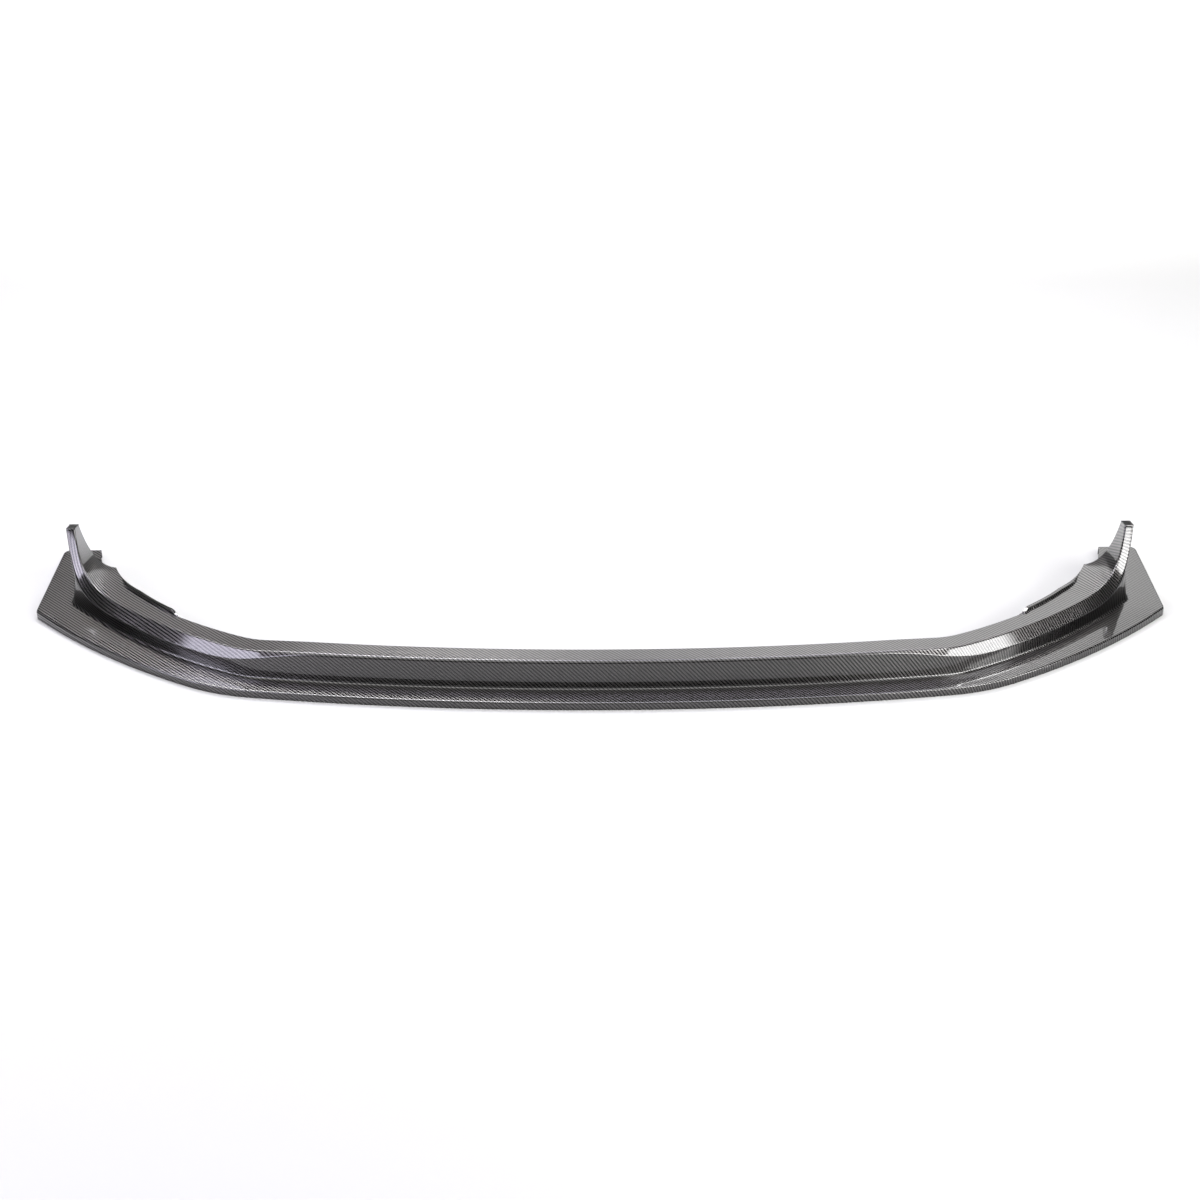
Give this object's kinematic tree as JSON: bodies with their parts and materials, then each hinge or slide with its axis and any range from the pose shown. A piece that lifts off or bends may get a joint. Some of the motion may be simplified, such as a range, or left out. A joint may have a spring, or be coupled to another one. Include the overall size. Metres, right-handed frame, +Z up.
{
  "type": "front splitter lip",
  "caption": "Thin carbon front splitter lip: a flat blade, an upright wall with a top flange for the bumper, and an end plate with an upturned horn at each side.",
  "frame": {"origin": "on the ground, in the middle of the part's footprint", "axes": "+X across the car, front edge towards -Y, +Z up; the part lies on the ground as it is fitted"},
  "size_m": [1.8128, 0.482, 0.1276],
  "materials": {
    "carbon_laminate": "glossy clear coat over twill carbon cloth"
  },
  "bodies": {
    "root": {"splitter_lip": "carbon_laminate"}
  },
  "joints": []
}
